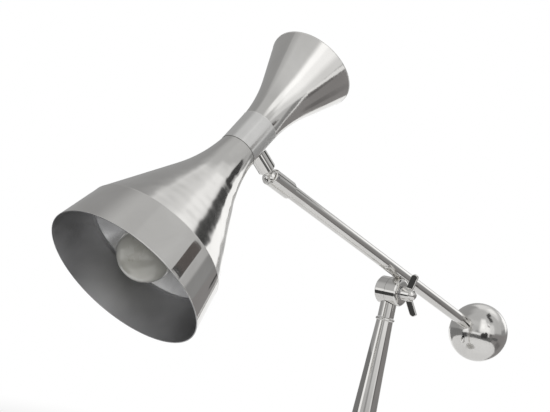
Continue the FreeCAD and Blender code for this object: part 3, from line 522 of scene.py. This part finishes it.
def patch(name, azimuths, elevations, step, radius, centre, level, *colour):
    """A part of a sphere round a point, with level(azimuth, elevation) as its glow."""
    wide = round((azimuths[1] - azimuths[0]) / step)
    tall = round((elevations[1] - elevations[0]) / step)
    points, levels, faces = [], [], []
    for i in range(wide + 1):
        for j in range(tall + 1):
            azimuth = azimuths[0] + (azimuths[1] - azimuths[0]) * i / wide
            elevation = elevations[0] + (elevations[1] - elevations[0]) * j / tall
            points.append(Vector(centre) + direction(azimuth, elevation) * radius)
            levels.append(level(azimuth, elevation))
    for i in range(wide):
        for j in range(tall):
            k = i * (tall + 1) + j
            faces.append((k, k + 1, k + tall + 2, k + tall + 1))
    glowing_mesh(name, points, faces, levels, *colour)


def card(name, centre, azimuth, elevation, outline, level, *colour):
    """A flat card that faces the lamp from that direction, outlined in millimetres to
    the right and up."""
    a = math.radians(azimuth)
    across = Vector((-math.sin(a), math.cos(a), 0.0))
    up = direction(azimuth, elevation + 90.0)
    points = [Vector(centre) + (across * x + up * y) / 1000.0 for x, y in outline]
    glowing_mesh(name, points, [tuple(range(len(points)))], [level] * len(points),
                 *colour)


WARM_DARK = (1.0, 0.9, 0.86, 1)
WARM_GREY = (1.0, 0.965, 0.96, 1)
patch("studio_walls", (-180, 180), (-3, 90), 1.0, 6.0, (0.2, 0.0, 0.5), brightness)

# The dark streak on the horn, with its soft edge on a card behind it.
card("dark_stand", (-0.25, 0.223, 0.885), 165, 30,
     [(-330, 60), (-95, 165), (0, 118), (60, 32), (126, -85), (60, -104), (0, -58),
      (-44, 0), (-62, -90), (-160, -112), (-290, -10)], 0.06)
card("dark_stand_edge", (-0.255, 0.2243, 0.888), 165, 30,
     [(-350, 72), (-100, 190), (8, 138), (72, 44), (142, -92), (64, -124), (-8, -74),
      (-40, -34), (-66, -112), (-164, -136), (-310, -20)], 0.4)

# The window on the shade's band, with a darker edge in front of it.
card("dark_window", (0.025, 0.615, 0.788), 131, 27.5,
     [(-92, 58), (-32, 80), (96, -66), (36, -94)], 0.12, WARM_DARK)
card("window_edge", (0.026, 0.613, 0.787), 131, 27.5,
     [(-92, 58), (-82, 62), (46, -90), (36, -94)], 0.06)

# The dark marks at the equator of the counterweight ball.
card("ball_dark_low", (-0.17, 0.105, 0.403), 52, 2,
     [(-26, -22), (-4, -27), (20, -20), (29, -2), (20, 18), (6, 26), (-2, 12),
      (-14, 16), (-28, 2)], 0.05)
card("ball_dark_side", (-0.249, 0.127, 0.396), 99, 3,
     [(-30, -8), (0, -11), (28, -7), (30, 5), (4, 9), (-26, 6)], 0.14)

# The dark lower part of the room, nearer than the walls.
patch("low_dark_shelf", (96, 184), (-25, -1), 1.5, 1.15, (0.25, 0.0, 0.5), brightness,
      WARM_GREY)
patch("low_dark_left", (-112, -32), (-24, -2), 1.5, 1.1, (-0.25, 0.0, 0.42),
      lambda a, e: 0.22)
patch("low_dark_room", (-18, 97), (-26, -10), 1.5, 1.0, (-0.25, 0.0, 0.42),
      lambda a, e: 0.13 + 0.4 * max(0.0, noise.noise(Vector((a, e, 7.0)) * 0.06)))
patch("low_dark_box", (-48, -20), (-38, -16), 1.0, 0.68, (0.0, 0.02, 0.45),
      lambda a, e: 0.06)


def seen_by_eye(tree):
    """1 for a camera ray and for what metal and glass show, 0 for diffuse light."""
    path = tree.nodes.new("ShaderNodeLightPath")
    total = path.outputs["Is Camera Ray"]
    for kind in ("Is Glossy Ray", "Is Transmission Ray"):
        plus = tree.nodes.new("ShaderNodeMath")
        plus.operation = "ADD"
        plus.use_clamp = True
        tree.links.new(total, plus.inputs[0])
        tree.links.new(path.outputs[kind], plus.inputs[1])
        total = plus.outputs[0]
    return total


# White to the eye, but only a soft light on the lamp.
SKY_LIGHT = 0.62
world = bpy.data.worlds.new("studio")
scene.world = world
world.use_nodes = True
tree = world.node_tree
tree.nodes.clear()
level = tree.nodes.new("ShaderNodeMapRange")
level.inputs["To Min"].default_value = SKY_LIGHT
level.inputs["To Max"].default_value = 1.0
tree.links.new(seen_by_eye(tree), level.inputs["Value"])
sky = tree.nodes.new("ShaderNodeBackground")
sky.inputs["Color"].default_value = (1, 1, 1, 1)
tree.links.new(level.outputs[0], sky.inputs["Strength"])
out = tree.nodes.new("ShaderNodeOutputWorld")
tree.links.new(sky.outputs[0], out.inputs["Surface"])

LAMP_MIDDLE = Vector((0.15, 0, 0.3))


def softbox(name, azimuth, elevation, distance, size, power):
    """A round area light that points at the lamp and doesn't show in the metal."""
    lamp = bpy.data.lights.new(name, "AREA")
    lamp.shape = "DISK"
    lamp.size = size
    lamp.energy = power
    thing = bpy.data.objects.new(name, lamp)
    scene.collection.objects.link(thing)
    way = direction(azimuth, elevation)
    thing.location = way * distance + LAMP_MIDDLE
    thing.rotation_mode = "QUATERNION"
    thing.rotation_quaternion = (-way).to_track_quat("-Z", "Y")
    thing.visible_glossy = False


softbox("key", 54, 48, 3.0, 1.6, 42)
softbox("fill", -80, 60, 3.0, 2.2, 18)

# The floor takes the lamp's shadow, and glows white from FLOOR_WHITE metres on, so
# that it runs into the background.
FLOOR_HALF = 9
FLOOR_DROP = 0.0002
FLOOR_GREY, FLOOR_WHITE = 0.6, 1.6
NEAR_SHARE, NEAR_GLOW = 0.45, 0.66
floor_mesh = bpy.data.meshes.new("floor")
floor_mesh.from_pydata([(FLOOR_HALF * x, FLOOR_HALF * y, 0)
                        for x, y in ((-1, -1), (1, -1), (1, 1), (-1, 1))], [],
                       [(0, 1, 2, 3)])
floor = bpy.data.objects.new("floor", floor_mesh)
floor.location.z = -FLOOR_DROP
scene.collection.objects.link(floor)
ground = bpy.data.materials.new("floor")
ground.use_nodes = True
tree = ground.node_tree
paint = tree.nodes["Principled BSDF"]
paint.inputs["Base Color"].default_value = (0.9, 0.9, 0.9, 1)
paint.inputs["Roughness"].default_value = 0.9
paint.inputs["Specular IOR Level"].default_value = 0.1
spot = tree.nodes.new("ShaderNodeTexCoord")
reach = tree.nodes.new("ShaderNodeVectorMath")
reach.operation = "LENGTH"
tree.links.new(spot.outputs["Object"], reach.inputs[0])
fade = tree.nodes.new("ShaderNodeMapRange")
fade.interpolation_type = "SMOOTHSTEP"
fade.inputs["From Min"].default_value = FLOOR_GREY
fade.inputs["From Max"].default_value = FLOOR_WHITE
fade.inputs["To Min"].default_value = NEAR_SHARE
fade.inputs["To Max"].default_value = 1.0
tree.links.new(reach.outputs["Value"], fade.inputs["Value"])
whiter = tree.nodes.new("ShaderNodeMapRange")
whiter.inputs["From Min"].default_value = NEAR_SHARE
whiter.inputs["To Min"].default_value = NEAR_GLOW
tree.links.new(fade.outputs[0], whiter.inputs["Value"])
glow = tree.nodes.new("ShaderNodeEmission")
glow.inputs["Color"].default_value = (1, 1, 1, 1)
tree.links.new(whiter.outputs[0], glow.inputs["Strength"])
share = tree.nodes.new("ShaderNodeMath")
share.operation = "MULTIPLY"
tree.links.new(seen_by_eye(tree), share.inputs[0])
tree.links.new(fade.outputs[0], share.inputs[1])
blend = tree.nodes.new("ShaderNodeMixShader")
tree.links.new(share.outputs[0], blend.inputs["Fac"])
tree.links.new(paint.outputs[0], blend.inputs[1])
tree.links.new(glow.outputs[0], blend.inputs[2])
tree.links.new(blend.outputs[0], tree.nodes["Material Output"].inputs["Surface"])
floor_mesh.materials.append(ground)

# ----------------------------------------------------------------- the camera
# Fitted to the photograph: its focal length in pixels, its place and its directions.
FOCAL_PIXELS = 1114.061
PHOTO_WIDTH = 550
SENSOR_WIDTH = 36.0
CAMERA_PLACE = (1.274787, 0.803017, 0.403154)
RIGHT = Vector((-0.5993054, 0.7680060, 0.2258311))
DOWN = Vector((-0.2004991, 0.1291078, -0.9711495))
AHEAD = Vector((-0.7750052, -0.6272941, 0.0766095))
lens = bpy.data.cameras.new("camera")
lens.sensor_fit = "HORIZONTAL"
lens.sensor_width = SENSOR_WIDTH
lens.lens = FOCAL_PIXELS / PHOTO_WIDTH * SENSOR_WIDTH
lens.clip_end = 50.0
camera = bpy.data.objects.new("camera", lens)
scene.collection.objects.link(camera)
turn = Matrix((RIGHT, -DOWN, -AHEAD)).transposed().to_4x4()
camera.matrix_world = Matrix.Translation(CAMERA_PLACE) @ turn
scene.camera = camera
scene.view_settings.view_transform = "Standard"
